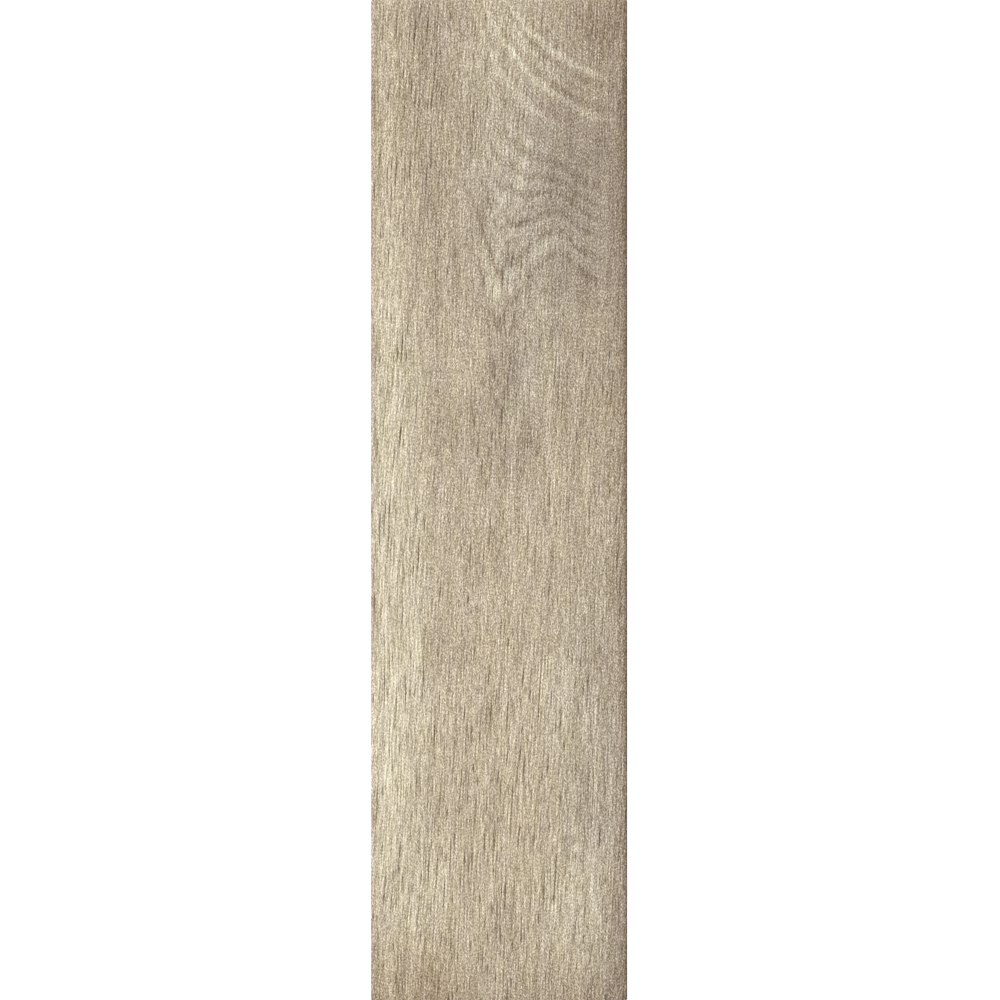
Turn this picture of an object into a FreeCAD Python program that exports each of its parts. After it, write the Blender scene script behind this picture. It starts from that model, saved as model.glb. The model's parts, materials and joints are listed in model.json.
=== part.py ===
"""Wood look porcelain plank tile: one dry-pressed, fired slab with rolled face edges and a waffle back.

Units are millimetres. The plank lies face up: +X across its width, +Y along its length, +Z up.
The origin is the middle of the back, on the plane of the ribs that it lies on.
"""

import FreeCAD, Part

import math
import os

from FreeCAD import Vector

NODE = "plank_tile"

# Work size of the plank
PLANK_WIDTH = 155.0
PLANK_LENGTH = 605.0
PLANK_THICKNESS = 9.0
CORNER_RADIUS = 1.2

# Pressed edge, from the face down: a soft roll, a tight arris, an upright collar, a drawn-in lower wall
ROLL_WIDTH = 3.0
ROLL_DROP = 1.4
ARRIS_RADIUS = 0.6
COLLAR_HEIGHT = 3.6
BACK_SET_IN = 0.7

# Waffle back: square cells pressed into it, with ribs between them and a plain rim round them
CELL_SIZE = 16.0
CELL_DEPTH = 0.7
CELL_WALL_RUN = 0.7
RIB_WIDTH = 4.0
RIM_WIDTH = 8.0


def edge_roll(half_span):
    """The face's edge on the +S side: (the roll's arc, the arris's arc), both tangent where they meet.

    The roll leaves the face level and the arris ends upright on the collar, so half the roll's turn
    has the tangent of what is left of the drop over what is left of the width.
    """
    turn = 2 * math.atan2(ROLL_DROP - ARRIS_RADIUS, ROLL_WIDTH - ARRIS_RADIUS)
    roll_radius = ARRIS_RADIUS + (ROLL_WIDTH - ARRIS_RADIUS) / math.sin(turn)
    roll_centre = Vector(half_span - ROLL_WIDTH, PLANK_THICKNESS - roll_radius)
    arris_centre = Vector(half_span - ARRIS_RADIUS, PLANK_THICKNESS - ROLL_DROP)

    def on_arc(centre, radius, angle):
        return centre + Vector(radius * math.sin(angle), radius * math.cos(angle))

    face_end = on_arc(roll_centre, roll_radius, 0)
    join = on_arc(roll_centre, roll_radius, turn)
    collar_top = on_arc(arris_centre, ARRIS_RADIUS, math.pi / 2)
    roll_middle = on_arc(roll_centre, roll_radius, turn / 2)
    arris_middle = on_arc(arris_centre, ARRIS_RADIUS, (turn + math.pi / 2) / 2)
    return Part.Arc(face_end, roll_middle, join), Part.Arc(join, arris_middle, collar_top)


def half_outline(half_span):
    """Edges of the section's +S half, from the middle of the face to the middle of the back."""
    roll, arris = edge_roll(half_span)
    collar_top = arris.EndPoint
    collar_foot = collar_top - Vector(0, COLLAR_HEIGHT)
    foot = Vector(half_span - BACK_SET_IN, 0)
    face = Part.LineSegment(Vector(0, PLANK_THICKNESS), roll.StartPoint)
    collar = Part.LineSegment(collar_top, collar_foot)
    lower_wall = Part.LineSegment(collar_foot, foot)
    back = Part.LineSegment(foot, Vector(0, 0))
    return [part.toShape() for part in (face, roll, arris, collar, lower_wall, back)]


def section(span):
    """The plank's section across a span, as a face in the XY plane: X across the span, Y up."""
    half = Part.Wire(half_outline(span / 2))
    other_half = half.mirror(Vector(0, 0, 0), Vector(1, 0, 0))
    return Part.Face(Part.Wire([half, other_half]))


def length_of_section(span, length):
    """A straight length of that section, standing face up, centred, and running along +Y."""
    face = section(span)
    face.rotate(Vector(0, 0, 0), Vector(1, 0, 0), 90)
    face.translate(Vector(0, length / 2, 0))
    return face.extrude(Vector(0, -length, 0))


def plan_block():
    """The die's own opening: the plank's plan with its small corner radius, as tall as the plank."""
    block = Part.makeBox(PLANK_WIDTH, PLANK_LENGTH, PLANK_THICKNESS)
    block.translate(Vector(-PLANK_WIDTH / 2, -PLANK_LENGTH / 2, 0))
    corners = [edge for edge in block.Edges if abs(edge.tangentAt(edge.FirstParameter).z) > 0.5]
    return block.makeFillet(CORNER_RADIUS, corners)


def pressed_slab():
    """The plank with its edges: what its section across, its section along and its plan share."""
    across = length_of_section(PLANK_WIDTH, PLANK_LENGTH)
    along = length_of_section(PLANK_LENGTH, PLANK_WIDTH)
    along.rotate(Vector(0, 0, 0), Vector(0, 0, 1), 90)
    return across.common(along).common(plan_block())


def back_cell():
    """What one cell takes out of the back: a low frustum whose walls lean in so that the die lets go."""
    mouth = CELL_SIZE / 2
    floor = mouth - CELL_WALL_RUN
    cell = Part.makeWedge(-mouth, 0, -mouth, -floor, -floor, mouth, CELL_DEPTH, mouth, floor, floor)
    cell.rotate(Vector(0, 0, 0), Vector(1, 0, 0), 90)
    return cell


def cell_centres(span):
    """Where the cells lie along a span of the back: as many as fit inside the rim, centred."""
    pitch = CELL_SIZE + RIB_WIDTH
    room = span - 2 * (BACK_SET_IN + RIM_WIDTH)
    count = math.floor((room + RIB_WIDTH) / pitch)
    return [(i - (count - 1) / 2) * pitch for i in range(count)]


def waffle_cells():
    """All the back's cells, as one list of cutting solids."""
    cell = back_cell()
    cells = []
    for x in cell_centres(PLANK_WIDTH):
        for y in cell_centres(PLANK_LENGTH):
            cells.append(cell.translated(Vector(x, y, 0)))
    return cells


def plank_tile():
    """The whole tile as one solid."""
    cells = waffle_cells()
    tile = pressed_slab().cut(cells).removeSplitter()
    print(f"{len(cells)} cells in the back, {tile.Volume / 1000:.1f} cubic centimetres")
    return tile.Solids[0]


os.makedirs("parts", exist_ok=True)
plank_tile().exportStep(f"parts/{NODE}.step")
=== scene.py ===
# %% [markdown]
# A wood look porcelain plank tile.
# The real tile is one slab of pressed and fired porcelain clay. Its face carries the relief of sawn oak,
# pressed in by the die, and an inkjet print of oak under a matte glaze. The CAD frame holds the slab at
# its real size. This lesson models the face and its relief as a mesh, and the print as node materials.

# %% Load the frame
import json
import math

import bmesh
import bpy
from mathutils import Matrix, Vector

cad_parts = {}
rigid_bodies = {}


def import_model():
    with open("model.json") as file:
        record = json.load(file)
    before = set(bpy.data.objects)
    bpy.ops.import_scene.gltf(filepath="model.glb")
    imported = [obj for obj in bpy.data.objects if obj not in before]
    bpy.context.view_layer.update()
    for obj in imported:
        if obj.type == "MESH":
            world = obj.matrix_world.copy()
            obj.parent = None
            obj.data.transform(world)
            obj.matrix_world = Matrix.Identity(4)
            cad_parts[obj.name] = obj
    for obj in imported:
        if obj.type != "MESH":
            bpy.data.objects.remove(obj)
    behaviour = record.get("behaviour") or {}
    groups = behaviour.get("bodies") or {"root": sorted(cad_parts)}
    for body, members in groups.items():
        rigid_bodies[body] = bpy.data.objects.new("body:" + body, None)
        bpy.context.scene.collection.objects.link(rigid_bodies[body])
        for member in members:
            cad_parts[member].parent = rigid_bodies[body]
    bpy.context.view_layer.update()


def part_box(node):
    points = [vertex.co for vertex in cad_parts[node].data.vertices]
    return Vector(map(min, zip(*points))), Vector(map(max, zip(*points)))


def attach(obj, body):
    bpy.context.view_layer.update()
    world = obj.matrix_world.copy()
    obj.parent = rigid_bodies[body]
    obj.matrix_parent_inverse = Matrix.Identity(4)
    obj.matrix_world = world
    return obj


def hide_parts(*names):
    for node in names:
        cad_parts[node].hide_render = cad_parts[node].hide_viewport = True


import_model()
NODE = "plank_tile"
low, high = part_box(NODE)
print("CAD box in metres:", [round(v, 4) for v in low], [round(v, 4) for v in high])

# %% [markdown]
# Every length below is in millimetres, because tiles are drawn in millimetres. Blender's own unit here is
# the metre, so one constant turns one into the other. The overall sizes come from the frame, and the
# section of the pressed edge repeats the sizes that the CAD part was made with.

# %% Sizes of the plank
MM = 0.001
HALF_WIDTH = high.x / MM
HALF_LENGTH = high.y / MM
THICKNESS = high.z / MM
ROLL_WIDTH = 3.0
ROLL_DROP = 1.4
ARRIS_RADIUS = 0.6
CORNER_RADIUS = 1.2
COLLAR_HEIGHT = 3.6
BACK_SET_IN = 0.7
COLLAR_TOP = THICKNESS - ROLL_DROP
COLLAR_FOOT = COLLAR_TOP - COLLAR_HEIGHT
ROLL_TURN = 2 * math.atan2(ROLL_DROP - ARRIS_RADIUS, ROLL_WIDTH - ARRIS_RADIUS)
ROLL_RADIUS = ARRIS_RADIUS + (ROLL_WIDTH - ARRIS_RADIUS) / math.sin(ROLL_TURN)
print(f"roll radius {ROLL_RADIUS:.2f} mm, turning {math.degrees(ROLL_TURN):.1f} degrees")

# %% [markdown]
# The face is one grid. Its lines lie close together across the grain, where the pressed pores are narrow,
# and further apart along it. Over the rolled edge the lines follow the two arcs of the section, so the
# roll and the tight arris below it are as round as their radii need.

# %% Grid lines and the height of the edge
FACE_LINES_ACROSS = 322
FACE_LINES_ALONG = 250
ROLL_STEPS = 4
ARRIS_STEPS = 4


def edge_insets():
    """How far in from the edge the grid's lines lie on the arris and the roll, from the edge inwards."""
    insets = []
    for i in range(ARRIS_STEPS):
        angle = math.pi / 2 + (ROLL_TURN - math.pi / 2) * i / ARRIS_STEPS
        insets.append(ARRIS_RADIUS - ARRIS_RADIUS * math.sin(angle))
    for i in range(ROLL_STEPS):
        angle = ROLL_TURN * (1 - i / ROLL_STEPS)
        insets.append(ROLL_WIDTH - ROLL_RADIUS * math.sin(angle))
    return insets


def grid_lines(half_span, face_lines):
    """Where the grid's lines cross one span of the plank, from one edge to the other."""
    left = [-half_span + inset for inset in edge_insets()]
    right = [-s for s in reversed(left)]
    reach = half_span - ROLL_WIDTH
    middle = [-reach + 2 * reach * i / face_lines for i in range(face_lines + 1)]
    return left + middle + right


def edge_height(inset):
    """Height of the face at a distance in from the edge: flat, then the roll, then the arris."""
    if inset >= ROLL_WIDTH:
        return THICKNESS
    beyond = ROLL_WIDTH - inset
    if beyond <= ROLL_RADIUS * math.sin(ROLL_TURN):
        return THICKNESS - ROLL_RADIUS + math.sqrt(ROLL_RADIUS ** 2 - beyond ** 2)
    return COLLAR_TOP + math.sqrt(max(0.0, ARRIS_RADIUS ** 2 - (ARRIS_RADIUS - inset) ** 2))


lines_across = grid_lines(HALF_WIDTH, FACE_LINES_ACROSS)
lines_along = grid_lines(HALF_LENGTH, FACE_LINES_ALONG)
print(f"{len(lines_across)} lines across the plank, {len(lines_along)} along it")

# %% [markdown]
# create_grid makes all the squares at once, evenly spaced from -1 to 1. Each vertex then moves to its
# pair of lines. In the corners the square of the plan's radius is drawn in to a quarter disc, which
# rounds the corner without any new faces.

# %% Face of the plank
def rounded_corner(x, y):
    """Draws a point of the corner's square in to a quarter disc."""
    over_x = abs(x) - (HALF_WIDTH - CORNER_RADIUS)
    over_y = abs(y) - (HALF_LENGTH - CORNER_RADIUS)
    if over_x <= 0 or over_y <= 0:
        return x, y
    shrink = max(over_x, over_y) / math.hypot(over_x, over_y)
    new_x = HALF_WIDTH - CORNER_RADIUS + over_x * shrink
    new_y = HALF_LENGTH - CORNER_RADIUS + over_y * shrink
    return math.copysign(new_x, x), math.copysign(new_y, y)


def face_grid(bm):
    """Adds the face with its rolled edges and rounded corners. Returns its faces and its outer edges."""
    steps_x = len(lines_across) - 1
    steps_y = len(lines_along) - 1
    made = bmesh.ops.create_grid(bm, x_segments=steps_x, y_segments=steps_y, size=1.0)
    for vert in made["verts"]:
        across = lines_across[round((vert.co.x + 1) / 2 * steps_x)]
        along = lines_along[round((vert.co.y + 1) / 2 * steps_y)]
        x, y = rounded_corner(across, along)
        z = min(edge_height(HALF_WIDTH - abs(x)), edge_height(HALF_LENGTH - abs(y)))
        vert.co = Vector((x, y, z)) * MM
    rim = [edge for edge in bm.edges if edge.is_boundary]
    return list(bm.faces), rim


bm = bmesh.new()
face_faces, rim = face_grid(bm)
print(f"face: {len(face_faces)} squares, {len(rim)} edges round it")

# %% [markdown]
# Below the arris the section is plain: an upright collar and a lower wall that draws in to the back, so
# that the pressed slab leaves its die. The face's outer edges are extruded down twice. The back is a
# small grid with one square for each cell of the waffle. Two insets on every square give the rib's half
# width and then the leaning wall and floor of the cell. Two open loops are left, the foot of the wall and
# the outline of the grid, and triangle_fill closes the plain rim between them.

# %% Edge walls and waffle back
CELL_SIZE = 16.0
CELL_DEPTH = 0.7
CELL_WALL_RUN = 0.7
RIB_WIDTH = 4.0
RIM_WIDTH = 8.0
CELL_PITCH = CELL_SIZE + RIB_WIDTH


def extruded(bm, edges):
    """Extrudes a loop of edges in place and returns its new edges and vertices."""
    made = bmesh.ops.extrude_edge_only(bm, edges=edges)["geom"]
    new_edges = [part for part in made if isinstance(part, bmesh.types.BMEdge)]
    new_verts = [part for part in made if isinstance(part, bmesh.types.BMVert)]
    return new_edges, new_verts


def cells_in(half_span):
    """How many cells fit along a span of the back, inside its rim."""
    room = 2 * (half_span - BACK_SET_IN - RIM_WIDTH)
    return math.floor((room + RIB_WIDTH) / CELL_PITCH)


def waffle_back(bm):
    """Adds the back's cells, face down at the height of the ribs. Returns how many there are."""
    across = cells_in(HALF_WIDTH)
    along = cells_in(HALF_LENGTH)
    made = bmesh.ops.create_grid(bm, x_segments=across, y_segments=along, size=1.0)
    half_x = across * CELL_PITCH / 2 * MM
    half_y = along * CELL_PITCH / 2 * MM
    bmesh.ops.scale(bm, vec=(half_x, half_y, 1), verts=made["verts"])
    cells = list({face for vert in made["verts"] for face in vert.link_faces})
    bmesh.ops.reverse_faces(bm, faces=cells)
    bmesh.ops.inset_individual(bm, faces=cells, thickness=RIB_WIDTH / 2 * MM, use_even_offset=True)
    bmesh.ops.inset_individual(bm, faces=cells, thickness=CELL_WALL_RUN * MM, depth=-CELL_DEPTH * MM,
                               use_even_offset=True)
    return across * along


collar_edges, collar_verts = extruded(bm, rim)
for vert in collar_verts:
    vert.co.z = COLLAR_FOOT * MM
_, foot_verts = extruded(bm, collar_edges)
for vert in foot_verts:
    vert.co.z = 0.0
draw_in = (1 - BACK_SET_IN / HALF_WIDTH, 1 - BACK_SET_IN / HALF_LENGTH, 1)
bmesh.ops.scale(bm, vec=draw_in, verts=foot_verts)
cell_count = waffle_back(bm)
open_loops = [edge for edge in bm.edges if edge.is_boundary]
bmesh.ops.triangle_fill(bm, edges=open_loops, use_beauty=True)
bmesh.ops.recalc_face_normals(bm, faces=bm.faces)
print(f"{cell_count} cells in the back, {len(bm.faces)} faces in all")

# %% [markdown]
# The face is shaded smooth. The collar's foot, the foot of the wall and the cells' edges are creases, and
# are marked sharp now, while the face is still plain, so that the pressed grain never counts as a crease.

# %% Sharp edges and the plank's object
CREASE_ANGLE = math.radians(8)
GLAZE, BODY = 0, 1

face_set = set(face_faces)
for face in bm.faces:
    face.smooth = True
    face.material_index = GLAZE if face in face_set else BODY
for edge in bm.edges:
    on_face = all(face in face_set for face in edge.link_faces)
    edge.smooth = on_face or edge.calc_face_angle(0.0) < CREASE_ANGLE
open_edges = sum(not edge.is_manifold for edge in bm.edges)
plank_mesh = bpy.data.meshes.new("plank")
bm.to_mesh(plank_mesh)
bm.free()
plank = bpy.data.objects.new("glazed_plank", plank_mesh)
bpy.context.scene.collection.objects.link(plank)
print(f"plank: {len(plank_mesh.vertices)} vertices, {open_edges} open edges")

# %% [markdown]
# One small function adds a node, sets it and links it. It works in a material's tree and in a geometry
# tree alike, so the recipe for the grain is written once and used twice: to press the relief into the
# mesh, and to print the colour in register with it. Colours are written as sRGB hex, as a picker shows
# them, and turned to linear light here.

# %% Node and colour helpers
def add(tree, kind, inputs=None, out=0, **settings):
    """Adds one node, sets its properties, fills or links its inputs, and returns one of its outputs."""
    made = tree.nodes.new(kind)
    for name, value in settings.items():
        setattr(made, name, value)
    for key, value in (inputs or {}).items():
        if isinstance(value, bpy.types.NodeSocket):
            tree.links.new(value, made.inputs[key])
        else:
            made.inputs[key].default_value = value
    return made.outputs[out] if made.outputs else made


def linear(hex_colour):
    """An sRGB hex colour as linear RGBA."""
    def channel(byte):
        value = byte / 255
        return value / 12.92 if value <= 0.04045 else ((value + 0.055) / 1.055) ** 2.4

    code = hex_colour.lstrip("#")
    return [channel(int(code[i:i + 2], 16)) for i in (0, 2, 4)] + [1.0]


print("mid oak in linear light:", [round(v, 3) for v in linear("#B9AC96")])

# %% [markdown]
# Much of a board's look is a matter of place: one edge is paler, one corner darker, the grain is stronger
# here than there. A soft area is the simplest way to say that. It is an ellipse on the face, with its
# middle and its reach across and along in millimetres, and an amount that fades from the full value in the
# middle to nothing at its rim. The same function serves for lightness, for hue and for the strength of
# the grain.

# %% Soft areas
def soft_areas(tree, place, areas, base=0.0):
    """A base value plus a list of soft areas, each (x, y, reach across, reach along, amount)."""
    total = None
    for x, y, reach_x, reach_y, amount in areas:
        off = add(tree, "ShaderNodeVectorMath",
                  {0: place, 1: (1 / reach_x, 1 / reach_y, 0), 2: (-x / reach_x, -y / reach_y, 0)},
                  operation="MULTIPLY_ADD")
        away = add(tree, "ShaderNodeVectorMath", {0: off}, out=1, operation="LENGTH")
        outside = base if total is None else 0.0
        area = add(tree, "ShaderNodeMapRange", {0: away, 1: 1.0, 2: 0.0, 3: outside, 4: outside + amount},
                   interpolation_type="SMOOTHSTEP")
        total = area if total is None else add(tree, "ShaderNodeMath", {0: total, 1: area})
    return total


print("a soft area takes 4 nodes")

# %% [markdown]
# Oak's fibres run along the plank, lean a little to one side and wander. A fibre's own place is therefore
# the point's place with that lean and drift taken away: across the fibres in X and along them in Y.
# Streaks are noise drawn out along the fibres. Pores are the cut vessels of the oak: thin dashes with
# tapered ends. A Voronoi texture on the same drawn out place gives one such dash to each of its cells,
# with a random size. On this board they are long in the pale band on the left and in the lower half, and
# short and faint in the upper right.

# %% Grain recipe
FIBRE_LEAN = 0.05
DRIFT_MM = 6.0
DRIFT_ACROSS_MM = 60.0
DRIFT_ALONG_MM = 170.0
WIGGLE_MM = 0.5
WIGGLE_ACROSS_MM = 8.0
WIGGLE_ALONG_MM = 40.0
PORE_WIDTH_MM = 0.92
PORE_SPACING_MM = 2.6
PORE_LAYERS = [(36.0, 3.0), (18.0, 21.0), (9.0, 43.0)]
PORE_SPREAD = 0.4
SMALLEST_PORE = 0.01
PALEST_PORE = 0.35
DARKEST_PORE = 0.9
PORE_BOTTOM = 0.3
PORE_SHARE = 0.42
PORE_AREAS = [(-66, -20, 34, 360, 0.34), (-10, -200, 120, 170, 0.42), (-50, 250, 50, 140, 0.2),
              (50, 190, 60, 130, -0.4)]
LONG_GRAIN = 0.34
LONG_GRAIN_AREAS = [(-68, -40, 36, 360, 0.5), (10, -210, 130, 190, 0.35), (-55, 250, 50, 140, 0.25),
                    (54, 288, 26, 38, 0.45)]
SHORT_GRAIN = 1.0
SHORT_GRAIN_AREAS = [(55, 175, 50, 120, -0.55)]
LONG_FURROW_MM = (1.0, 20.0)
SHORT_FURROW_MM = (0.95, 6.0)


def streaks(tree, place, width_mm, length_mm, start, detail=0.0):
    """Noise from 0 to 1 drawn out along Y in streaks of about that size. The start sets one apart."""
    spread = add(tree, "ShaderNodeVectorMath",
                 {0: place, 1: (1 / width_mm, 1 / length_mm, 0), 2: (start, start / 3, 0)},
                 operation="MULTIPLY_ADD")
    return add(tree, "ShaderNodeTexNoise", {"Vector": spread, "Scale": 1.0, "Detail": detail,
                                            "Roughness": 0.5}, noise_dimensions="2D")


def fibre_place(tree, place):
    """A place among the fibres, in millimetres: across them in X, along them in Y."""
    x = add(tree, "ShaderNodeSeparateXYZ", {0: place})
    y = x.node.outputs[1]
    drift = streaks(tree, place, DRIFT_ACROSS_MM, DRIFT_ALONG_MM, start=5.0)
    wiggle = streaks(tree, place, WIGGLE_ACROSS_MM, WIGGLE_ALONG_MM, start=11.0)
    leant = add(tree, "ShaderNodeMath", {0: y, 1: -FIBRE_LEAN, 2: x}, operation="MULTIPLY_ADD")
    drifted = add(tree, "ShaderNodeMath", {0: drift, 1: DRIFT_MM, 2: leant}, operation="MULTIPLY_ADD")
    across = add(tree, "ShaderNodeMath", {0: wiggle, 1: WIGGLE_MM, 2: drifted}, operation="MULTIPLY_ADD")
    return add(tree, "ShaderNodeCombineXYZ", {0: across, 1: y, 2: 0.0})


def pores(tree, fibres, share, length_mm, start):
    """Dashes in a share of the cells, of at most that length: near 1 in a pore's middle, 0 off it."""
    spacing_along = PORE_SPACING_MM * length_mm / PORE_WIDTH_MM
    cells = add(tree, "ShaderNodeVectorMath",
                {0: fibres, 1: (1 / PORE_SPACING_MM, 1 / spacing_along, 0), 2: (start, start / 3, 0)},
                operation="MULTIPLY_ADD")
    away = add(tree, "ShaderNodeTexVoronoi", {"Vector": cells, "Scale": 1.0}, voronoi_dimensions="2D")
    lot = add(tree, "ShaderNodeSeparateXYZ", {0: away.node.outputs["Color"]})
    widest = PORE_WIDTH_MM / 2 / PORE_SPACING_MM
    least = add(tree, "ShaderNodeMath", {0: 1.0, 1: share}, operation="SUBTRACT")
    most = add(tree, "ShaderNodeMath", {0: least, 1: PORE_SPREAD})
    reach = add(tree, "ShaderNodeMapRange",
                {0: lot, 1: least, 2: most, 3: SMALLEST_PORE * widest, 4: widest})
    darkness = add(tree, "ShaderNodeMapRange",
                   {0: lot.node.outputs[1], 1: 0.0, 2: 1.0, 3: PALEST_PORE, 4: DARKEST_PORE})
    bottom = add(tree, "ShaderNodeMath", {0: reach, 1: PORE_BOTTOM}, operation="MULTIPLY")
    return add(tree, "ShaderNodeMapRange", {0: away, 1: reach, 2: bottom, 3: 0.0, 4: darkness},
               interpolation_type="SMOOTHSTEP")


def all_pores(tree, fibres, share):
    """Long, middling and short pores together, one layer for each (length, start)."""
    layers = [pores(tree, fibres, share, length_mm, start) for length_mm, start in PORE_LAYERS]
    deepest = layers[0]
    for layer in layers[1:]:
        deepest = add(tree, "ShaderNodeMath", {0: deepest, 1: layer}, operation="MAXIMUM")
    return deepest


def grain(tree, place, fibres):
    """The grain at a place: its pores, from 0 to about 1, and its furrows, from about -0.5 to 0.5."""
    pore = all_pores(tree, fibres, soft_areas(tree, place, PORE_AREAS, PORE_SHARE))
    long_share = soft_areas(tree, place, LONG_GRAIN_AREAS, LONG_GRAIN)
    short_share = soft_areas(tree, place, SHORT_GRAIN_AREAS, SHORT_GRAIN)
    furrow = None
    layers = ((long_share, LONG_FURROW_MM, 3.0), (short_share, SHORT_FURROW_MM, 17.0))
    for share, (width_mm, length_mm), start in layers:
        wave = streaks(tree, fibres, width_mm, length_mm, start, detail=1.0)
        about_zero = add(tree, "ShaderNodeMath", {0: wave, 1: 0.5}, operation="SUBTRACT")
        part = add(tree, "ShaderNodeMath", {0: about_zero, 1: share}, operation="MULTIPLY")
        furrow = part if furrow is None else add(tree, "ShaderNodeMath", {0: furrow, 1: part})
    return pore, furrow


print(f"fibres lean {math.degrees(math.atan(FIBRE_LEAN)):.1f} degrees")

# %% [markdown]
# The die presses the grain into the face. A geometry node tree lowers each vertex of the face by the
# recipe's depth, fading out on the arris, where the die has no grain. Crests stay at the tile's own
# height, so the relief never leaves the CAD box. The result replaces the plain mesh.

# %% Pressed relief
FURROW_DEPTH_MM = 0.55
FURROW_CREST = 0.3
PORE_DEPTH_MM = 0.3
RELIEF_FADE_FROM = COLLAR_TOP + 0.3
RELIEF_FADE_TO = COLLAR_TOP + 1.0

relief = bpy.data.node_groups.new("pressed_relief", "GeometryNodeTree")
relief.interface.new_socket("Geometry", in_out="INPUT", socket_type="NodeSocketGeometry")
relief.interface.new_socket("Geometry", in_out="OUTPUT", socket_type="NodeSocketGeometry")
plain = add(relief, "NodeGroupInput")
position = add(relief, "GeometryNodeInputPosition")
place = add(relief, "ShaderNodeVectorMath", {0: position, "Scale": 1 / MM}, operation="SCALE")
pore, furrow = grain(relief, place, fibre_place(relief, place))
furrow_depth = add(relief, "ShaderNodeMapRange",
                   {0: furrow, 1: FURROW_CREST, 2: -FURROW_CREST, 3: 0.0, 4: FURROW_DEPTH_MM})
depth = add(relief, "ShaderNodeMath", {0: pore, 1: PORE_DEPTH_MM, 2: furrow_depth},
            operation="MULTIPLY_ADD")
height = add(relief, "ShaderNodeSeparateXYZ", {0: place}, out=2)
fade = add(relief, "ShaderNodeMapRange",
           {0: height, 1: RELIEF_FADE_FROM, 2: RELIEF_FADE_TO, 3: 0.0, 4: -MM},
           interpolation_type="SMOOTHSTEP")
drop = add(relief, "ShaderNodeMath", {0: depth, 1: fade}, operation="MULTIPLY")
offset = add(relief, "ShaderNodeCombineXYZ", {2: drop})
pressed = add(relief, "GeometryNodeSetPosition", {"Geometry": plain, "Offset": offset})
add(relief, "NodeGroupOutput", {0: pressed})

press = plank.modifiers.new("press", "NODES")
press.node_group = relief
seen = plank.evaluated_get(bpy.context.evaluated_depsgraph_get())
pressed_mesh = bpy.data.meshes.new_from_object(seen)
plank.modifiers.remove(press)
plank.data = pressed_mesh
pressed_mesh.name = "pressed_plank"
heights = [v.co.z / MM for v in pressed_mesh.vertices]
pressed_mesh.calc_loop_triangles()
print(f"pressed plank: {len(pressed_mesh.loop_triangles)} triangles, top at {max(heights):.3f} mm")

# %% [markdown]
# The print. An inkjet line lays a picture of weathered, limed oak on the glaze. Lightness is written in
# the 0 to 255 levels that a colour picker shows, and is summed up from parts: how light the plank is
# across and along, its growth rings, soft light and dark areas, and the fine grain. The first two are
# lines drawn as in Blender's curve widget: the Float Curve node holds one.

# %% Lightness across and along
# The ends of the line across paint shade on the rolled long edges: its first point dims the lit left roll
# with painted shade, and its last point darkens the right roll further with painted shade.
ACROSS_LEVELS_WITH_EDGE_SHADE = [(-77.5, 158), (-75, 178), (-73, 194), (-67, 199), (-58, 192), (-49, 190), (-45.5, 184),
                 (-38, 180), (-30, 178), (0, 178), (30, 175), (45, 171), (60, 168.5), (66, 163.5),
                 (71, 155.5), (74, 146), (76.2, 148), (77.5, 36)]
ALONG_LEVELS = [(-302.5, -10), (-285, -4), (-262, 4.5), (-200, 6), (-100, 6.5), (-20, 3.5), (40, -0.5),
                (100, -4), (160, -7), (225, -9), (262, -6), (302.5, -4)]


def drawn_line(tree, at, points):
    """A smooth line drawn through (place, value) points, read at a place."""
    first, last = points[0][0], points[-1][0]
    lowest = min(value for _, value in points)
    highest = max(value for _, value in points)
    share = add(tree, "ShaderNodeMapRange", {0: at, 1: first, 2: last, 3: 0.0, 4: 1.0})
    line = add(tree, "ShaderNodeFloatCurve", {1: share})
    curve = line.node.mapping.curves[0]
    drawn = [((p - first) / (last - first), (v - lowest) / (highest - lowest)) for p, v in points]
    curve.points[0].location = drawn[0]
    curve.points[1].location = drawn[-1]
    for spot in drawn[1:-1]:
        curve.points.new(*spot)
    line.node.mapping.update()
    return add(tree, "ShaderNodeMapRange", {0: line, 1: 0.0, 2: 1.0, 3: lowest, 4: highest})


print(len(ACROSS_LEVELS_WITH_EDGE_SHADE), "points across and", len(ALONG_LEVELS), "points along")

# %% [markdown]
# Sapwood, mineral stain and wear leave soft light and dark areas on oak. Each row below is one of them: its
# middle across and along, its reach across and along, and its amount in levels. The second list holds
# small ones: single marks that catch the eye on this board, such as a dark vessel or a pale ray.

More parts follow.
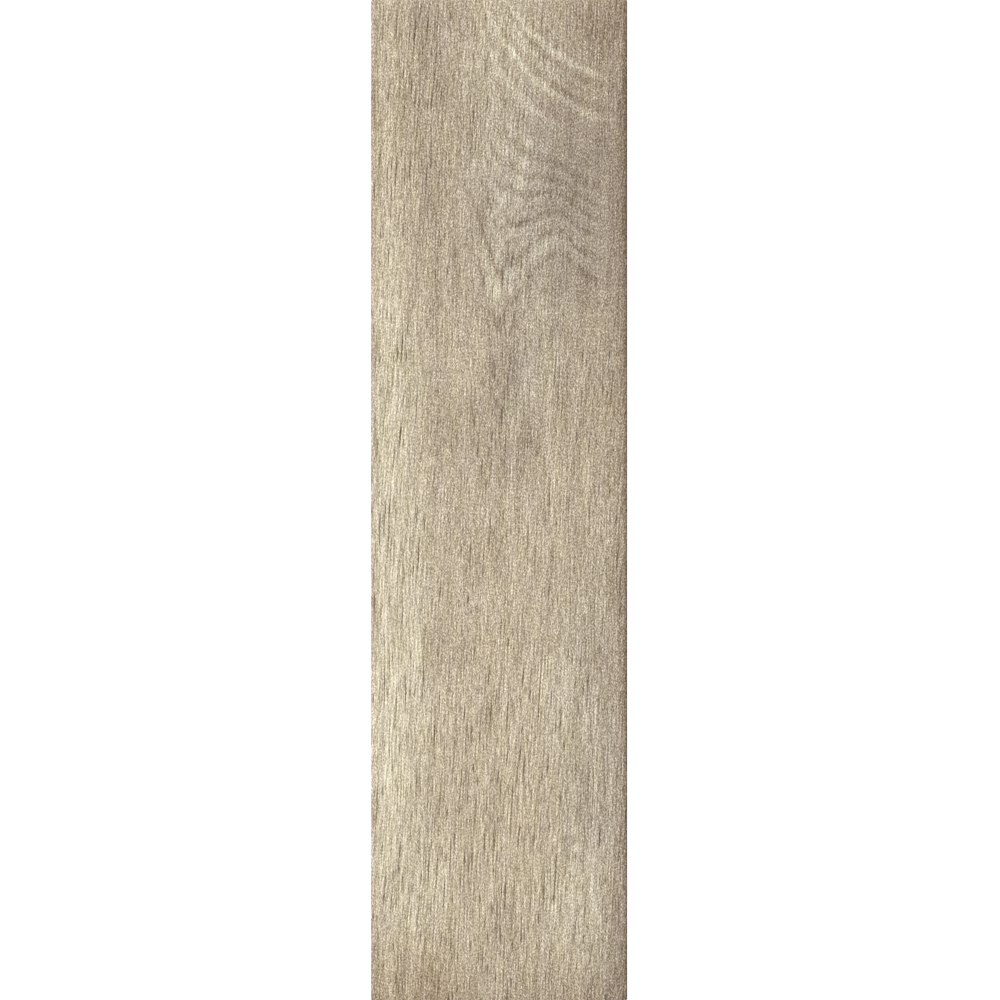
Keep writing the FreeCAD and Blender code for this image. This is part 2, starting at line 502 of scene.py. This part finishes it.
# %% Soft light and dark areas
SOFT_AREAS = [
    (-55, 280, 32, 85, -14),
    (-43, 290, 50, 26, -9),
    (-18, 288, 12, 24, -11),
    (-17, 245, 14, 24, 8),
    (-34, 245, 12, 30, -6),
    (38, 243, 26, 18, -7),
    (-48, 190, 17, 76, -12),
    (2, 277, 40, 70, 14),
    (-4, 205, 40, 45, 10),
    (46, 192, 40, 78, -16),
    (56, 283, 24, 28, -17),
    (-70, 288, 14, 24, -5),
    (3, 289, 12, 18, 5),
    (-68, 120, 18, 110, 9),
    (-20, 88, 20, 42, 12),
    (-58, 131, 30, 30, -7),
    (4, 68, 22, 75, -15),
    (16, 34, 9, 34, -12),
    (-51, 19, 14, 24, -6),
    (-2, 138, 14, 28, 8),
    (-4, 126, 8, 14, 14),
    (-1, 108, 9, 10, -11),
    (-10, 172, 7, 18, -9),
    (4, 177, 9, 11, 8),
    (34, 194, 10, 8, -8),
    (33, 162, 10, 7, -8),
    (27, 154, 16, 9, 7),
    (11, 70, 6, 16, 10),
    (9, 42, 6, 16, 9),
    (47, 82, 34, 26, 6),
    (34, 18, 20, 30, 6),
    (62, -12, 24, 36, 6),
    (-77, 94, 8, 22, -15),
    (-76, -70, 8, 22, -14),
    (-62, 50, 18, 70, 6),
    (-58, -112, 16, 58, 7),
    (-70, -140, 16, 64, 8),
    (-69, -94, 12, 22, -5),
    (-37, -88, 15, 36, -10),
    (-8, -131, 13, 30, -7),
    (-5, -25, 15, 20, -6),
    (31, -48, 11, 24, -7),
    (35, -104, 20, 34, 9),
    (52, -84, 14, 28, -7),
    (49, -165, 18, 36, -6),
    (50, -245, 34, 54, 13),
    (-69, -244, 20, 44, -10),
    (1, -258, 18, 28, -9),
    (-71, -284, 26, 44, -21),
    (-46, -292, 20, 36, -17),
    (33, -245, 14, 24, 5),
    (17, 190, 14, 24, 6),
    (-30, 44, 26, 34, -7),
    (72, 50, 10, 95, 11),
    (70, -60, 12, 34, -9),
    (62, -100, 16, 30, -10),
    (68, -247, 15, 32, -16),
    (44, 130, 40, 30, -12),
    (52, -297, 22, 15, -4),
    (-6, 31, 26, 40, -10),
    (73, -26, 8, 30, 9),
    (73, -175, 9, 36, 6),
    (-33, -228, 15, 40, 8),
    (-50, -226, 10, 34, -6),
    (17, -142, 14, 44, 8),
    (-18, 57, 10, 20, -6),
    (-54, -20, 18, 26, 6),
    (55, -283, 20, 18, 7),
    (-68, 132, 10, 18, -5),
]
MARKS = [
    (7, 130, 1.6, 11, 26),
    (58, 291, 1.3, 12, 22),
    (55, 297, 1.2, 12, -24),
    (71, 274, 1.1, 7, 18),
    (-4, 80, 1.3, 13, -30),
    (7, 87, 1.2, 11, -25),
    (19, 38, 1.4, 15, -28),
    (-37, 145, 1.3, 5, -30),
    (-37, 119, 1.3, 11, -25),
    (29, 284, 2.4, 4, -24),
    (32, -34, 1.6, 8, -24),
    (-49, 288, 2.4, 7, -18),
    (51, -72, 2.6, 6, -20),
]
print(len(SOFT_AREAS), "soft areas and", len(MARKS), "marks")

# %% [markdown]
# Growth rings. A flat-sawn oak board cuts its growth cones aslant, so the rings show as nested arches.
# At the top of this plank they sweep down to the right, and further down they meet in a V. Both shapes are
# drawn as the height of one ring along the plank's width, and a ring between them is a mix of the two. What
# names a ring is its height on the plank's middle line, so the first step is to find that height for a
# place, and the second is to read the ring's lightness from a drawn line. Vessels cross the rings and make
# their edges ragged, so the place is first shifted a little along the fibres. Wear leaves a ring fainter in
# some patches than in others. Noise mostly keeps between the two values named below, so those stand for the
# faintest and the strongest patch.

# %% Growth rings
SWEEP_LINE = [(-77.5, 140), (-16.6, 45), (-12.4, 30), (-8.8, 20), (-2.7, 6), (0.9, 0), (5.7, -6.7),
              (10.6, -12.7), (14.8, -18.2), (19, -23.6), (23.9, -27.8), (29.3, -32.7), (34.2, -36.3),
              (40.2, -40), (49.3, -45.4), (61.4, -50), (77.5, -54)]
V_LINE = [(-77.5, 120), (-17.2, 48), (-12.4, 37.5), (-9.4, 28.4), (-7, 21), (-3.9, 12), (0.9, 0), (3.3, 9),
          (5.7, 16.3), (10.6, 20), (16, 27.8), (20.9, 34.5), (25.1, 40.5), (29.9, 44.2), (36, 47.2),
          (41.4, 44.2), (46.3, 38), (52.3, 33.9), (61.4, 29.6), (77.5, 25)]
SWEEP_RING = 290.0
V_RING = 103.0
SWEEP_LEVELS = [(237, 0), (242, -5), (246, -12), (250, -2), (255.5, 4), (258.5, 19), (261.5, 4),
                (267.5, -11), (270.5, 0), (273.5, -5), (277, 6), (280.5, 27), (283, 4), (286.5, -12),
                (289, -2), (291.5, 12), (294, -7), (296.2, 10), (298.2, -2), (300.8, -15), (303.6, 2),
                (306.2, 28), (308.6, 8), (311, -4), (316, 0)]
V_LEVELS = [(-3, 0), (7, 0), (13, -8), (19, 0), (38, 6), (48, 2), (55, -10), (61, -2), (72, 4), (80, 2),
            (85, -9), (90, 2), (98, 2), (103, -22), (108, 0), (118, 9), (125, 11), (131, 5), (136, -26),
            (141, 3), (147, 4), (150, -5), (154, 8), (160, 4), (165, -25), (170, 3), (175, -5), (182, 8),
            (188, -21), (193, 3), (198, 8), (204, -15), (209, 4), (215, 8), (223, -15), (228, 4), (232, 8),
            (237, 0)]
RING_BEND = 2.2
SWEEP_AREAS = [(26, 270, 64, 86, 2.6), (66, 258, 18, 11, -0.8), (52, 237, 26, 14, 0.8),
               (34, 223, 22, 13, -1.3)]
V_AREAS = [(30, 165, 62, 112, 2.8), (1, 118, 16, 34, 1.3), (6, 40, 22, 66, 1.2),
           (66, 150, 32, 90, -0.85)]
VESSEL_ACROSS_MM = 1.6
VESSEL_ALONG_MM = 9.0
RING_JAG_MM = 4.0
RING_PATCH_MM = 6.0
NOISE_LOW = 0.35
NOISE_HIGH = 0.65
RING_STRENGTH = 0.8
SWEEP_FAINTEST = 0.62
V_FAINTEST = 0.4


def growth_rings(tree, place):
    """Lightness of the growth rings, in levels about 0."""
    x = add(tree, "ShaderNodeSeparateXYZ", {0: place})
    ragged = streaks(tree, place, VESSEL_ACROSS_MM, VESSEL_ALONG_MM, start=71.0, detail=1.0)
    jag = add(tree, "ShaderNodeMapRange", {0: ragged, 1: 0.0, 2: 1.0, 3: -RING_JAG_MM, 4: RING_JAG_MM})
    y = add(tree, "ShaderNodeMath", {0: x.node.outputs[1], 1: jag})
    sweep = drawn_line(tree, x, SWEEP_LINE)
    vee = drawn_line(tree, x, V_LINE)
    gap = add(tree, "ShaderNodeMath", {0: vee, 1: sweep}, operation="SUBTRACT")
    squeeze = add(tree, "ShaderNodeMath", {0: gap, 1: SWEEP_RING - V_RING}, operation="DIVIDE")
    room = add(tree, "ShaderNodeMath", {0: 1.0, 1: squeeze}, operation="SUBTRACT")
    below = add(tree, "ShaderNodeMath", {0: y, 1: sweep}, operation="SUBTRACT")
    below = add(tree, "ShaderNodeMath", {0: below, 1: SWEEP_RING}, operation="SUBTRACT")
    first_guess = add(tree, "ShaderNodeMath", {0: below, 1: room}, operation="DIVIDE")
    share = add(tree, "ShaderNodeMapRange",
                {0: first_guess, 1: 0.0, 2: V_RING - SWEEP_RING, 3: 0.0, 4: 1.0})
    share = add(tree, "ShaderNodeMath", {0: share, 1: RING_BEND}, operation="POWER")
    line = add(tree, "ShaderNodeMix", {0: share, 2: sweep, 3: vee}, data_type="FLOAT")
    ring = add(tree, "ShaderNodeMath", {0: y, 1: line}, operation="SUBTRACT")
    patches = streaks(tree, place, RING_PATCH_MM, RING_PATCH_MM, start=29.0, detail=1.0)
    rings = None
    figures = ((SWEEP_LEVELS, SWEEP_AREAS, SWEEP_FAINTEST), (V_LEVELS, V_AREAS, V_FAINTEST))
    for levels, areas, faintest in figures:
        strongest = 2 * RING_STRENGTH - faintest
        strength = add(tree, "ShaderNodeMapRange",
                       {0: patches, 1: NOISE_LOW, 2: NOISE_HIGH, 3: faintest, 4: strongest})
        lightness = drawn_line(tree, ring, levels)
        shown = soft_areas(tree, place, areas)
        shown = add(tree, "ShaderNodeMath", {0: shown, 1: 1.0}, operation="MINIMUM")
        seen = add(tree, "ShaderNodeMath", {0: strength, 1: shown}, operation="MULTIPLY")
        part = add(tree, "ShaderNodeMath", {0: lightness, 1: seen}, operation="MULTIPLY")
        rings = part if rings is None else add(tree, "ShaderNodeMath", {0: rings, 1: part})
    return rings


print(len(SWEEP_LEVELS) + len(V_LEVELS), "points across the rings")

# %% [markdown]
# The ink. All parts of the lightness are summed up here, and one ramp of weathered oak, from dark vessel to
# limed white, turns the sum to a colour. Inkjet dots and the glaze's own grit show as fine specks, drawn
# about as coarse as one millimetre because finer ones would not show.

# %% Printed ink
INK_LEVELS = [(85, "#61543D"), (129, "#8C806A"), (167, "#B0A791"), (196, "#CCC6B0"), (223, "#E6E1CE"),
              (250, "#FEFBEB")]
MOTTLE_LEVELS = 26.0
MOTTLE_ACROSS_MM = 5.5
MOTTLE_ALONG_MM = 52.0
FURROW_LEVELS = 80.0
PORE_LEVELS = 100.0
GRIT_WIDTH_MM = 0.7
GRIT_LENGTH_MM = 1.2
GRIT_TURN = 0.6
GRIT_LEVELS = [(0.0, -83), (0.5, 0), (1.0, 118)]
GRIT_SHARE = 1.0
GRIT_AREAS = [(-66, -60, 34, 300, -0.16), (0, -200, 110, 170, -0.15)]

glaze = bpy.data.materials.new("printed_matte_glaze")
glaze.use_nodes = True
tree = glaze.node_tree
shader = tree.nodes["Principled BSDF"]
coordinates = add(tree, "ShaderNodeTexCoord", out="Object")
place = add(tree, "ShaderNodeVectorMath", {0: coordinates, "Scale": 1 / MM}, operation="SCALE")
x = add(tree, "ShaderNodeSeparateXYZ", {0: place})
y = x.node.outputs[1]
# The line across brings the painted shade on the rolled long edges into the lightness.
soft = drawn_line(tree, x, ACROSS_LEVELS_WITH_EDGE_SHADE)
soft_parts = [
    drawn_line(tree, y, ALONG_LEVELS),
    growth_rings(tree, place),
    soft_areas(tree, place, SOFT_AREAS),
]
for part in soft_parts:
    soft = add(tree, "ShaderNodeMath", {0: soft, 1: part})

fibres = fibre_place(tree, place)
pore, furrow = grain(tree, place, fibres)
mottle = streaks(tree, fibres, MOTTLE_ACROSS_MM, MOTTLE_ALONG_MM, start=57.0, detail=2.0)
drawn_out = add(tree, "ShaderNodeVectorMath", {0: place, 1: (1 / GRIT_WIDTH_MM, 1 / GRIT_LENGTH_MM, 0)},
                operation="MULTIPLY")
turned = add(tree, "ShaderNodeVectorRotate", {"Vector": drawn_out, "Angle": GRIT_TURN},
             rotation_type="Z_AXIS")
grit = add(tree, "ShaderNodeTexNoise", {"Vector": turned, "Scale": 1.0, "Detail": 1.0},
           noise_dimensions="2D")
grit_levels = drawn_line(tree, grit, GRIT_LEVELS)
grit_share = soft_areas(tree, place, GRIT_AREAS, GRIT_SHARE)
fine_parts = [
    add(tree, "ShaderNodeMath", {0: furrow, 1: FURROW_LEVELS}, operation="MULTIPLY"),
    add(tree, "ShaderNodeMath", {0: pore, 1: -PORE_LEVELS}, operation="MULTIPLY"),
    add(tree, "ShaderNodeMapRange", {0: mottle, 1: 0.0, 2: 1.0, 3: -MOTTLE_LEVELS, 4: MOTTLE_LEVELS}),
    add(tree, "ShaderNodeMath", {0: grit_levels, 1: grit_share}, operation="MULTIPLY"),
    soft_areas(tree, place, MARKS),
]
lightness = soft
for part in fine_parts:
    lightness = add(tree, "ShaderNodeMath", {0: lightness, 1: part})
share = add(tree, "ShaderNodeMath", {0: lightness, 1: 255.0}, operation="DIVIDE")
ink = add(tree, "ShaderNodeValToRGB", {0: share})
stops = ink.node.color_ramp.elements
stops.remove(stops[1])
for i, (level, colour) in enumerate(INK_LEVELS):
    stop = stops[0] if i == 0 else stops.new(level / 255)
    stop.position = level / 255
    stop.color = linear(colour)
print("ink:", len(stops), "stops,", len(tree.nodes), "nodes so far")

# %% [markdown]
# The matte glaze. It is a rough dielectric with the usual index of a ceramic glaze, and it tints the print
# with two faint casts: dark areas are a little mauve, and the wood is straw coloured apart from the grey,
# weathered upper right and lower right. The grit that specks the print also lifts the glaze, as bump,
# because it is finer than the mesh.

# %% Casts and surface of the glaze
TINT_ACROSS_MM = 8.0
TINT_ALONG_MM = 28.0
TINT_STRAW = 0.42
TINT_MAUVE = 0.6
GRIT_HEIGHT_MM = 0.15
DARK_LEVEL = 145.0
PALE_LEVEL = 212.0
ROSY_AREAS = [(-8, -60, 60, 260, -0.17)]
STRAW = 0.75
STRAW_AREAS = [(37, 181, 90, 140, -0.62), (67, -140, 50, 180, -0.38), (-46, -288, 50, 44, 0.4),
               (-72, 230, 26, 120, 0.25), (12, 60, 28, 75, -0.32), (72, -290, 26, 60, -0.4),
               (-2, -60, 34, 100, 0.12), (-33, 290, 24, 40, -0.2), (17, -188, 26, 56, 0.18),
               (-15, -170, 52, 150, 0.1), (62, -225, 34, 90, -0.15)]
WHITE = "#FFFFFF"
MAUVE_CAST = "#FFF8FF"
STRAW_CAST = "#FFF7E9"
GLAZE_ROUGHNESS = 0.62
GLAZE_IOR = 1.5

tint = streaks(tree, place, TINT_ACROSS_MM, TINT_ALONG_MM, start=83.0, detail=2.0)
mauve_tint = add(tree, "ShaderNodeMapRange", {0: tint, 1: 0.0, 2: 1.0, 3: -TINT_MAUVE, 4: TINT_MAUVE})
straw_tint = add(tree, "ShaderNodeMapRange", {0: tint, 1: 0.0, 2: 1.0, 3: -TINT_STRAW, 4: TINT_STRAW})
paleness = add(tree, "ShaderNodeMapRange", {0: soft, 1: DARK_LEVEL, 2: PALE_LEVEL, 3: 0.0, 4: 1.0})
for part in (mauve_tint, soft_areas(tree, place, ROSY_AREAS)):
    paleness = add(tree, "ShaderNodeMath", {0: paleness, 1: part})
# Where the line across paints shade on the rolled long edges, this mauve cast tints that painted shade too.
mauve = add(tree, "ShaderNodeMix", {0: paleness, 6: linear(MAUVE_CAST), 7: linear(WHITE)}, out=2,
            data_type="RGBA", clamp_factor=False)
straw_share = add(tree, "ShaderNodeMath", {0: soft_areas(tree, place, STRAW_AREAS, STRAW), 1: straw_tint})
straw = add(tree, "ShaderNodeMix", {0: straw_share, 6: linear(WHITE), 7: linear(STRAW_CAST)}, out=2,
            data_type="RGBA", clamp_factor=False)
colour = ink
for cast in (mauve, straw):
    colour = add(tree, "ShaderNodeMix", {0: 1.0, 6: colour, 7: cast}, out=2, data_type="RGBA",
                 blend_type="MULTIPLY")
grit_height = add(tree, "ShaderNodeMath", {0: grit, 1: GRIT_HEIGHT_MM}, operation="MULTIPLY")
normal = add(tree, "ShaderNodeBump", {"Strength": 1.0, "Distance": MM, "Height": grit_height})
tree.links.new(colour, shader.inputs["Base Color"])
tree.links.new(normal, shader.inputs["Normal"])
shader.inputs["Roughness"].default_value = GLAZE_ROUGHNESS
shader.inputs["IOR"].default_value = GLAZE_IOR
print("glaze:", len(tree.nodes), "nodes")

# %% [markdown]
# The body. Pressed porcelain is a pale, faintly warm clay with a few dark specks of iron, and it stays
# bare on the edges and the back. Glaze sprayed on the face runs a little over the arris and ends in a
# ragged line on the collar. The ribs of the back carry a worn wash of white alumina, which keeps a tile
# from sticking to the kiln's rollers. One material can hold all of it: the height over the floor tells
# where the wash and the glaze lie. Noise makes the glaze's border ragged and the wash patchy.

# %% Porcelain body
CLOUD_MM = 7.0
SPECK_MM = 0.5
SPECK_SPACING_MM = 4.0
SPECK_STRENGTH = 0.8
RAGGED_MM = 5.0
WASH_TOP = 0.25
WASH_LEAST = 0.25
WASH_MOST = 0.85
GLAZE_RUN = COLLAR_TOP - 0.7
RUN_UNEVEN_MM = 1.5
RUN_FADE_MM = 0.3
CLOUD_LOW = 0.3
CLOUD_HIGH = 0.7
CLAY_SMOOTHEST = 0.72
CLAY_ROUGHEST = 0.9
CLAY_GRIT_MM = 0.7
CLAY_GRIT_HEIGHT_MM = 0.08

body = bpy.data.materials.new("fired_porcelain_body")
body.use_nodes = True
tree = body.node_tree
shader = tree.nodes["Principled BSDF"]
coordinates = add(tree, "ShaderNodeTexCoord", out="Object")
place = add(tree, "ShaderNodeVectorMath", {0: coordinates, "Scale": 1 / MM}, operation="SCALE")
height = add(tree, "ShaderNodeSeparateXYZ", {0: place}, out=2)
cloud = add(tree, "ShaderNodeTexNoise", {"Vector": place, "Scale": 1 / CLOUD_MM, "Detail": 4.0})
ragged = add(tree, "ShaderNodeTexNoise", {"Vector": place, "Scale": 1 / RAGGED_MM, "Detail": 3.0})
clay_grit = add(tree, "ShaderNodeTexNoise", {"Vector": place, "Scale": 1 / CLAY_GRIT_MM, "Detail": 2.0})
speck_away = add(tree, "ShaderNodeTexVoronoi", {"Vector": place, "Scale": 1 / SPECK_SPACING_MM})
speck_reach = SPECK_MM / SPECK_SPACING_MM
speck = add(tree, "ShaderNodeMapRange",
            {0: speck_away, 1: speck_reach, 2: speck_reach / 2, 3: 0.0, 4: SPECK_STRENGTH})
worn = add(tree, "ShaderNodeMapRange",
           {0: ragged, 1: NOISE_LOW, 2: NOISE_HIGH, 3: WASH_LEAST, 4: WASH_MOST})
near_ribs = add(tree, "ShaderNodeMapRange", {0: height, 1: WASH_TOP, 2: 0.0, 3: 0.0, 4: 1.0})
wash = add(tree, "ShaderNodeMath", {0: near_ribs, 1: worn}, operation="MULTIPLY")
uneven = add(tree, "ShaderNodeMapRange", {0: ragged, 1: 0.0, 2: 1.0, 3: -RUN_UNEVEN_MM, 4: RUN_UNEVEN_MM})
spray = add(tree, "ShaderNodeMath", {0: height, 1: uneven})
glazed = add(tree, "ShaderNodeMapRange",
             {0: spray, 1: GLAZE_RUN - RUN_FADE_MM, 2: GLAZE_RUN + RUN_FADE_MM, 3: 0.0, 4: 1.0})
colour = add(tree, "ShaderNodeMix", {0: cloud, 6: linear("#AFA28D"), 7: linear("#C2B7A4")}, out=2,
             data_type="RGBA")
for share, layer in ((speck, "#645948"), (wash, "#DAD6CD"), (glazed, "#9C8F79")):
    colour = add(tree, "ShaderNodeMix", {0: share, 6: colour, 7: linear(layer)}, out=2, data_type="RGBA")
roughness = add(tree, "ShaderNodeMapRange",
                {0: cloud, 1: CLOUD_LOW, 2: CLOUD_HIGH, 3: CLAY_SMOOTHEST, 4: CLAY_ROUGHEST})
grit_height = add(tree, "ShaderNodeMath", {0: clay_grit, 1: CLAY_GRIT_HEIGHT_MM}, operation="MULTIPLY")
normal = add(tree, "ShaderNodeBump", {"Strength": 1.0, "Distance": MM, "Height": grit_height})
tree.links.new(colour, shader.inputs["Base Color"])
tree.links.new(roughness, shader.inputs["Roughness"])
tree.links.new(normal, shader.inputs["Normal"])
plank.data.materials.append(glaze)
plank.data.materials.append(body)
print("body:", len(tree.nodes), "nodes")

# %% Set the plank in the frame
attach(plank, "root")
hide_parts(NODE)
print("plank rides on root and stands for", NODE)

# %% [markdown]
# The photo is a cut-out on pure white. A large white floor that also glows a little is plain white in the
# camera and loses the shadow, as in a light box.

# %% White floor
FLOOR_SIZE = 20.0
FLOOR_GLOW = 0.9
floor_mesh = bpy.data.meshes.new("floor")
bm = bmesh.new()
bmesh.ops.create_grid(bm, x_segments=1, y_segments=1, size=FLOOR_SIZE / 2)
bm.to_mesh(floor_mesh)
bm.free()
floor = bpy.data.objects.new("floor", floor_mesh)
bpy.context.scene.collection.objects.link(floor)
paper = bpy.data.materials.new("white_paper")
paper.use_nodes = True
shader = paper.node_tree.nodes["Principled BSDF"]
shader.inputs["Base Color"].default_value = linear("#E6E6E6")
shader.inputs["Roughness"].default_value = 1.0
shader.inputs["Specular IOR Level"].default_value = 0.0
shader.inputs["Emission Color"].default_value = linear(WHITE)
shader.inputs["Emission Strength"].default_value = FLOOR_GLOW
floor_mesh.materials.append(paper)
print(f"floor {FLOOR_SIZE:.0f} m square")

# %% [markdown]
# The grain's relief shows only under light from one side. In the photo each pore is dark on its left and
# bright on its right, and the right edge rolls away into shade, so the key light comes from the left, at
# the height that gives the edge its shade. A white world fills the rest.

# %% Light
KEY_ELEVATION = math.radians(40)
KEY_STRENGTH = 3.65
KEY_ANGLE = math.radians(12)
KEY_SLANT = -0.15
FILL_STRENGTH = 0.25
key = bpy.data.lights.new("key", "SUN")
key.energy = KEY_STRENGTH
key.angle = KEY_ANGLE
lamp = bpy.data.objects.new("key", key)
toward = Vector((math.cos(KEY_ELEVATION), KEY_SLANT, -math.sin(KEY_ELEVATION)))
lamp.rotation_euler = toward.to_track_quat("-Z", "Y").to_euler()
bpy.context.scene.collection.objects.link(lamp)

world = bpy.data.worlds.new("fill")
world.use_nodes = True
world.node_tree.nodes["Background"].inputs["Color"].default_value = linear(WHITE)
world.node_tree.nodes["Background"].inputs["Strength"].default_value = FILL_STRENGTH
bpy.context.scene.world = world
print(f"key light {math.degrees(KEY_ELEVATION):.0f} degrees above the floor")

# %% [markdown]
# The photo looks straight down on the face, and the plank's length fills the frame. A long lens from far
# away keeps the sides of the plank out of sight.

# %% Camera
LENS = 200.0
SENSOR = 36.0
PHOTO_SIDE_MM = 604.4
PHOTO_SHIFT_MM = 0.6
FARTHEST_SEEN = 100.0
camera_data = bpy.data.cameras.new("camera")
camera_data.lens = LENS
camera_data.sensor_width = SENSOR
camera_data.clip_end = FARTHEST_SEEN
camera = bpy.data.objects.new("camera", camera_data)
distance = PHOTO_SIDE_MM * LENS / SENSOR
camera.location = Vector((PHOTO_SHIFT_MM, 0, COLLAR_TOP + distance)) * MM
bpy.context.scene.collection.objects.link(camera)
bpy.context.scene.camera = camera
bpy.context.scene.view_settings.view_transform = "Standard"
print(f"camera {distance / 1000:.2f} m above the face")
